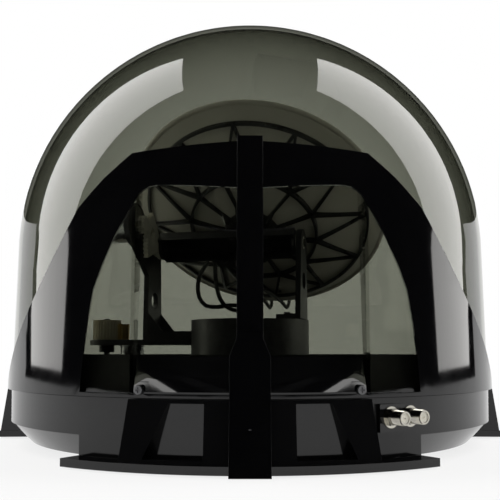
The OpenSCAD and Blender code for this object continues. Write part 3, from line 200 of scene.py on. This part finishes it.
MAT = {
    "tub_plastic": surface("tub_plastic", (0.0042, 0.0042, 0.0046), (0.0058, 0.0058, 0.0062),
                           rough=(0.07, 0.12),
                           grain=1400.0, grain_mm=0.0012, wave=9.0, wave_mm=0.02, ior=1.46,
                           specks=(900.0, (0.03, 0.03, 0.03), 0.82)),
    "gloss_black": surface("gloss_black", (0.0022, 0.0022, 0.0026), (0.0032, 0.0032, 0.0036),
                           rough=(0.035, 0.07),
                           grain=1500.0, grain_mm=0.0008, wave=7.0, wave_mm=0.015, ior=1.46,
                           specks=(1000.0, (0.03, 0.03, 0.03), 0.84)),
    "smoked_dome": smoked("smoked_dome"),
    "rubber": surface("rubber", (0.018, 0.018, 0.018), rough=(0.6, 0.85), grain=2200.0, grain_mm=0.03),
    "brass": surface("brass", (0.62, 0.45, 0.19), (0.74, 0.57, 0.27), metal=1.0, rough=(0.22, 0.4),
                     grain=900.0, grain_mm=0.008, brushed=(1, 1, 12)),
    "screw_steel": surface("screw_steel", (0.10, 0.10, 0.105), (0.16, 0.16, 0.165), metal=1.0,
                           rough=(0.25, 0.42),
                           grain=1300.0, grain_mm=0.008, wear=((0.3, 0.3, 0.3), 0.4)),
    "port_nickel": surface("port_nickel", (0.40, 0.39, 0.355), (0.52, 0.505, 0.46), metal=1.0,
                           rough=(0.10, 0.2),
                           tone_scale=260.0, grain=2500.0, grain_mm=0.003, wear=((0.78, 0.72, 0.58), 0.3)),
    "insulator": surface("insulator", (0.78, 0.74, 0.62), (0.88, 0.85, 0.76), rough=(0.35, 0.5),
                           grain=1500.0,
                         grain_mm=0.01),
    "lead_sheath": surface("lead_sheath", (0.010, 0.010, 0.010), (0.022, 0.022, 0.022), rough=(0.3, 0.5),
                           grain=1800.0, grain_mm=0.015),
    "deck_plastic": surface("deck_plastic", (0.010, 0.010, 0.010), (0.020, 0.020, 0.020), rough=(0.4, 0.6),
                            grain=1700.0, grain_mm=0.03, wear=((0.07, 0.07, 0.07), 0.5)),
    "machined_aluminium": surface("machined_aluminium", (0.58, 0.59, 0.60), (0.72, 0.73, 0.74), metal=1.0,
                                  rough=(0.22, 0.4), grain=600.0, grain_mm=0.01, brushed=(1, 1, 18)),
    "board": surface("board", (0.012, 0.10, 0.035), (0.03, 0.17, 0.07), rough=(0.25, 0.4), tone_scale=140.0,
                     grain=1200.0, grain_mm=0.02, specks=(260.0, (0.35, 0.30, 0.14), 0.66)),
    "chip": surface("chip", (0.012, 0.012, 0.013), rough=(0.45, 0.6), grain=2500.0, grain_mm=0.02),
    "tinned_steel": surface("tinned_steel", (0.58, 0.59, 0.60), (0.72, 0.73, 0.74), metal=1.0,
                           rough=(0.25, 0.45),
                            tone_scale=90.0, grain=700.0, grain_mm=0.02),
    "capacitor": surface("capacitor", (0.02, 0.03, 0.09), (0.04, 0.05, 0.14), rough=(0.2, 0.32),
                           grain=1500.0,
                         grain_mm=0.01),
    "acetal": surface("acetal", (0.72, 0.69, 0.58), (0.84, 0.81, 0.72), rough=(0.35, 0.5), grain=1500.0,
                      grain_mm=0.015),
    "mech_plastic": surface("mech_plastic", (0.012, 0.012, 0.013), (0.026, 0.026, 0.028), rough=(0.3, 0.5),
                            grain=1500.0, grain_mm=0.03, wear=((0.10, 0.10, 0.105), 0.5)),
    "bronze": surface("bronze", (0.42, 0.28, 0.14), (0.58, 0.42, 0.24), metal=1.0, rough=(0.35, 0.55),
                      grain=1500.0, grain_mm=0.02),
    "motor_can": surface("motor_can", (0.52, 0.53, 0.55), (0.70, 0.71, 0.73), metal=1.0, rough=(0.18, 0.34),
                         grain=800.0, grain_mm=0.008, brushed=(1, 1, 14), wear=((0.85, 0.85, 0.86), 0.4)),
    "ivory_gear": surface("ivory_gear", (0.62, 0.56, 0.40), (0.80, 0.74, 0.58), rough=(0.3, 0.45),
                           grain=1500.0,
                          grain_mm=0.015, wear=((0.9, 0.86, 0.74), 0.4)),
    "dish_paint": surface("dish_paint", (0.70, 0.67, 0.59), (0.80, 0.77, 0.70), rough=(0.3, 0.42),
                           grain=1100.0,
                          grain_mm=0.03, wave=20.0, wave_mm=0.05, specks=(500.0, (0.5, 0.48, 0.42), 0.74)),
    "back_plastic": surface("back_plastic", (0.010, 0.010, 0.0105), (0.020, 0.020, 0.021), rough=(0.22,
                           0.38),
                            grain=1400.0, grain_mm=0.02, wear=((0.08, 0.08, 0.083), 0.4)),
    "die_cast": surface("die_cast", (0.5, 0.5, 0.5), (0.63, 0.63, 0.63), metal=1.0, rough=(0.4, 0.6),
                           grain=1800.0,
                        grain_mm=0.04),
    "cap_plastic": surface("cap_plastic", (0.76, 0.73, 0.64), (0.86, 0.84, 0.76), rough=(0.35, 0.5),
                           grain=1500.0,
                           grain_mm=0.02),
}
for part in frame["record"]["subparts"]:
    ob = frame["nodes"][part["node"]]
    ob.data.materials.clear()
    ob.data.materials.append(MAT[part["material_slot"]])

# ---------------------------------------------------------------- pieces with rounded edges, and threads

body_of_node = {n: b for b, ns in frame["record"]["behaviour"]["bodies"].items() for n in ns}
slot_of_node = {p["node"]: p["material_slot"] for p in frame["record"]["subparts"]}


def finish_piece(ob, node):
    """Link the piece, shown in the node's place, on the node's body; the caller gives it the node's slot.
    """
    scene.collection.objects.link(ob)
    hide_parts(node)
    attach(ob, body_of_node[node])
    return ob


def softened(node, width, segments=2, angle=30.0):
    """The node's shape with its sharp edges rounded off by width millimetres, as on a moulding."""
    src = frame["nodes"][node]
    bm = bmesh.new()
    bm.from_mesh(src.data)
    bm.transform(src.matrix_world)
    bmesh.ops.remove_doubles(bm, verts=bm.verts, dist=0.00001)
    bmesh.ops.dissolve_limit(bm, angle_limit=math.radians(0.6), verts=bm.verts, edges=bm.edges)
    sharp = [e for e in bm.edges if len(e.link_faces) == 2 and e.calc_face_angle(0.0) > math.radians(angle)]
    bmesh.ops.bevel(bm, geom=sharp, offset=width * MM, offset_type="OFFSET", segments=segments, profile=0.5,
                    affect="EDGES", clamp_overlap=True)
    bmesh.ops.triangulate(bm, faces=[f for f in bm.faces if len(f.verts) > 4])
    bmesh.ops.recalc_face_normals(bm, faces=bm.faces)
    me = bpy.data.meshes.new(node + "_soft")
    bm.to_mesh(me)
    bm.free()
    me.materials.append(MAT[slot_of_node[node]])
    for poly in me.polygons:
        poly.use_smooth = True
    me.set_sharp_from_angle(angle=math.radians(38))
    ob = bpy.data.objects.new(node + "_soft", me)
    w = ob.modifiers.new("even_normals", "WEIGHTED_NORMAL")
    w.keep_sharp = True
    w.weight = 80
    return finish_piece(ob, node)


EDGE_MM = {
    "rear_frame": 1.3, "carry_handle": 1.3, "base_tub": 0.7, "left_yoke_arm": 0.5, "right_yoke_arm": 0.5,
    "jack_nuts": 0.3, "feed_arm": 0.5, "dish_bracket": 0.4, "radome": 0.9, "deck": 0.4,
}
for node, width in EDGE_MM.items():
    softened(node, width)


def thread(name, centre, axis, radius, length, pitch, depth, mat, body):
    """A screw thread: one ridge wound round a barrel."""
    c, a = Vector(centre), Vector(axis).normalized()
    u = a.cross(Vector((0, 0, 1))).normalized()
    v = a.cross(u).normalized()
    turns = length / pitch
    steps = int(turns * 40)
    bm = bmesh.new()
    rows = []
    for i in range(steps + 1):
        t = i / steps
        ang = 2 * math.pi * turns * t
        fade = min(1.0, 12 * t, 12 * (1 - t))
        out = math.cos(ang) * u + math.sin(ang) * v
        at = c + a * (length * (t - 0.5))
        rows.append([bm.verts.new(at + out * r + a * k) for r, k in (
            (radius - 0.05 * MM, -pitch * 0.46), (radius + depth * fade, -pitch * 0.08),
            (radius + depth * fade, pitch * 0.08), (radius - 0.05 * MM, pitch * 0.46))])
    for i in range(steps):
        for k in range(4):
            bm.faces.new((rows[i][k], rows[i][(k + 1) % 4], rows[i + 1][(k + 1) % 4], rows[i + 1][k]))
    bm.faces.new(rows[0])
    bm.faces.new(rows[-1])
    bmesh.ops.recalc_face_normals(bm, faces=bm.faces)
    me = bpy.data.meshes.new(name)
    bm.to_mesh(me)
    bm.free()
    me.materials.append(mat)
    ob = bpy.data.objects.new(name, me)
    scene.collection.objects.link(ob)
    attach(ob, body)
    return ob


THREAD_PITCH = 0.00079
THREAD_DEPTH = 0.00028
THREAD_RUNOUT = 0.0012          # the plain part of a jack, which the thread leaves free
for mount in frame["record"]["mounts"]:
    if mount["name"].startswith("coax_port"):
        thread(mount["name"] + "_thread", mount["pos_m"], mount["axis"], mount["dims"]["r_mm"] * MM,
               mount["dims"]["length_mm"] * MM - THREAD_RUNOUT, THREAD_PITCH, THREAD_DEPTH,
               MAT["port_nickel"], "base")

# ---------------------------------------------------------------- studio


def stage_mesh(name, verts, faces, mat):
    me = bpy.data.meshes.new(name)
    me.from_pydata(verts, [], faces)
    me.materials.append(mat)
    ob = bpy.data.objects.new(name, me)
    scene.collection.objects.link(ob)
    return ob


def seen_ray(nt):
    """1 on rays that show a surface (camera, glossy or through glass), 0 on those that light one."""
    lp = nt.nodes.new("ShaderNodeLightPath")
    through = math_node(nt, "MAXIMUM", lp.outputs["Is Glossy Ray"], lp.outputs["Is Transmission Ray"])
    return math_node(nt, "MAXIMUM", lp.outputs["Is Camera Ray"], through)


def studio():
    # floor: pale matte, turning to plain white light away from the object
    m, nt, out = nodes_of("floor_paper")
    d = nt.nodes.new("ShaderNodeBsdfDiffuse")
    d.inputs["Color"].default_value = (0.86, 0.86, 0.86, 1)
    e = nt.nodes.new("ShaderNodeEmission")
    seen = seen_ray(nt)
    tc = nt.nodes.new("ShaderNodeTexCoord")
    ln = nt.nodes.new("ShaderNodeVectorMath")
    ln.operation = "LENGTH"
    nt.links.new(tc.outputs["Object"], ln.inputs[0])
    away = remap(nt, ln.outputs["Value"], 0.80, 1.0, 0.26, 0.6)
    mix = nt.nodes.new("ShaderNodeMixShader")
    nt.links.new(math_node(nt, "MULTIPLY", seen, away), mix.inputs[0])
    nt.links.new(d.outputs[0], mix.inputs[1])
    nt.links.new(e.outputs[0], mix.inputs[2])
    nt.links.new(mix.outputs[0], out.inputs["Surface"])
    s = 9.0
    stage_mesh("floor", [(-s, -s, 0), (s, -s, 0), (s, s, 0), (-s, s, 0)], [(0, 1, 2, 3)], m)

    # world: white where it is seen, dim where it lights
    w = bpy.data.worlds.new("studio")
    scene.world = w
    w.use_nodes = True
    nt = w.node_tree
    nt.nodes.clear()
    out = nt.nodes.new("ShaderNodeOutputWorld")
    lit = add(nt, "ShaderNodeBackground", Strength=0.14)
    shown = add(nt, "ShaderNodeBackground", Strength=1.0)
    lit.inputs[0].default_value = (0.95, 0.97, 1.0, 1)
    shown.inputs[0].default_value = (1, 1, 1, 1)
    seen = seen_ray(nt)
    mix = nt.nodes.new("ShaderNodeMixShader")
    nt.links.new(seen, mix.inputs[0])
    nt.links.new(lit.outputs[0], mix.inputs[1])
    nt.links.new(shown.outputs[0], mix.inputs[2])
    nt.links.new(mix.outputs[0], out.inputs["Surface"])

    # black flags, seen only in gloss: everywhere but low down behind the object
    m, nt, out = nodes_of("black_flag")
    d = nt.nodes.new("ShaderNodeBsdfDiffuse")
    d.inputs["Color"].default_value = (0.004, 0.004, 0.004, 1)
    nt.links.new(d.outputs[0], out.inputs["Surface"])
    verts, faces, r = [], [], 5.0
    n_az, n_el = 72, 24
    for j in range(n_el + 1):
        el = math.radians(-6 + 96 * j / n_el)
        for i in range(n_az):
            az = math.radians(360 * i / n_az)
            verts.append((r * math.cos(el) * math.sin(az), r * math.cos(el) * math.cos(az),
                          r * math.sin(el)))
    for j in range(n_el):
        el = -6 + 96 * (j + 0.5) / n_el
        for i in range(n_az):
            az = abs((360 * (i + 0.5) / n_az + 180) % 360 - 180)
            if az > 62 or el > 14:
                k = (i + 1) % n_az
                faces.append((j * n_az + i, j * n_az + k, (j + 1) * n_az + k, (j + 1) * n_az + i))
    flag = stage_mesh("flags", verts, faces, m)
    flag.visible_camera = False
    flag.visible_diffuse = False
    flag.visible_transmission = False
    flag.visible_shadow = False

    def softbox(name, az, el, dist, w, h, power, target=(0, 0, 0.18), seen_in_gloss=True):
        a, e = math.radians(az), math.radians(el)
        t = Vector(target)
        at = t + dist * Vector((math.cos(e) * math.sin(a), math.cos(e) * math.cos(a), math.sin(e)))
        L = bpy.data.lights.new(name, "AREA")
        L.shape = "RECTANGLE"
        L.size, L.size_y, L.energy = w, h, power
        L.color = (1.0, 0.99, 0.97)
        ob = bpy.data.objects.new(name, L)
        ob.location = at
        ob.rotation_mode = "QUATERNION"
        ob.rotation_quaternion = (at - t).to_track_quat("Z", "Y")
        ob.visible_camera = False
        ob.visible_glossy = seen_in_gloss
        scene.collection.objects.link(ob)
        return ob

    softbox("softbox_left", -80, 34, 2.2, 1.20, 3.20, 46)
    softbox("softbox_right", 80, 34, 2.2, 1.20, 3.20, 46)
    # unseen in gloss: light through the dome from behind, and weak fill from the camera's side
    softbox("key_left", -45, 42, 2.2, 1.4, 1.4, 9, seen_in_gloss=False)
    softbox("key_right", 45, 42, 2.2, 1.4, 1.4, 9, seen_in_gloss=False)
    softbox("fill_front", 180, 35, 2.4, 1.6, 1.2, 5, seen_in_gloss=False)


studio()

camera = bpy.data.objects.new("camera", bpy.data.cameras.new("camera"))
scene.collection.objects.link(camera)
scene.camera = camera
camera.data.sensor_width = 36.0
camera.data.lens = 729.3 / 500 * 36.0
camera.data.shift_y = 52.1 / 500
camera.location = (0.0, -0.6962, 0.07815)
camera.rotation_euler = Euler((math.radians(90 + 4), 0, 0))
camera.data.clip_start = 0.01
camera.data.clip_end = 60
scene.view_settings.view_transform = "Standard"
